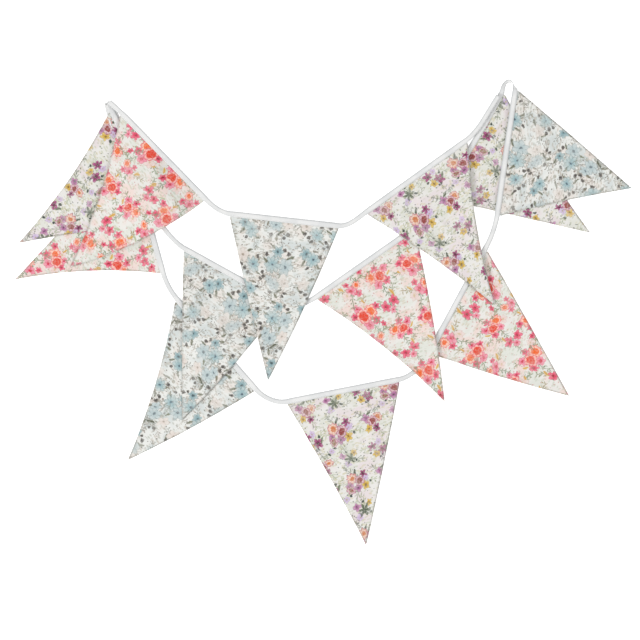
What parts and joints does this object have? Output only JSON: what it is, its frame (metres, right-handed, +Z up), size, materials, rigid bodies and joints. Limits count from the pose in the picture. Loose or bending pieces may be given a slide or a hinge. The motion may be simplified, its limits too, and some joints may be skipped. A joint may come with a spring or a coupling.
{
  "type": "fabric bunting",
  "caption": "Fabric bunting with triangular flowered cotton flags in plum, blue and pink on a white cotton heading tape, laid out flat in overlapping swags.",
  "frame": {"origin": "middle of the whole layout in plan, on the surface that it lies on", "axes": "+X to the right along the swags, +Y towards the side with the peaks, +Z up from the surface"},
  "size_m": [0.9246, 0.6996, 0.0114],
  "materials": {
    "plum_cotton": "matt printed cotton, ivory ground with plum and mauve flowers",
    "blue_cotton": "matt printed cotton, ivory ground with pale blue and grey-green flowers",
    "pink_cotton": "matt printed cotton, ivory ground with coral and pink flowers",
    "tape_cotton": "matt white cotton tape"
  },
  "bodies": {
    "root": {"flag_01_plum": "plum_cotton", "flag_02_blue": "blue_cotton", "flag_03_pink": "pink_cotton", "flag_04_plum": "plum_cotton", "flag_05_blue": "blue_cotton", "flag_06_pink": "pink_cotton", "flag_07_plum": "plum_cotton", "flag_08_blue": "blue_cotton", "flag_09_pink": "pink_cotton", "flag_10_plum": "plum_cotton", "flag_11_blue": "blue_cotton", "flag_12_pink": "pink_cotton", "heading_tape": "tape_cotton"}
  },
  "joints": []
}
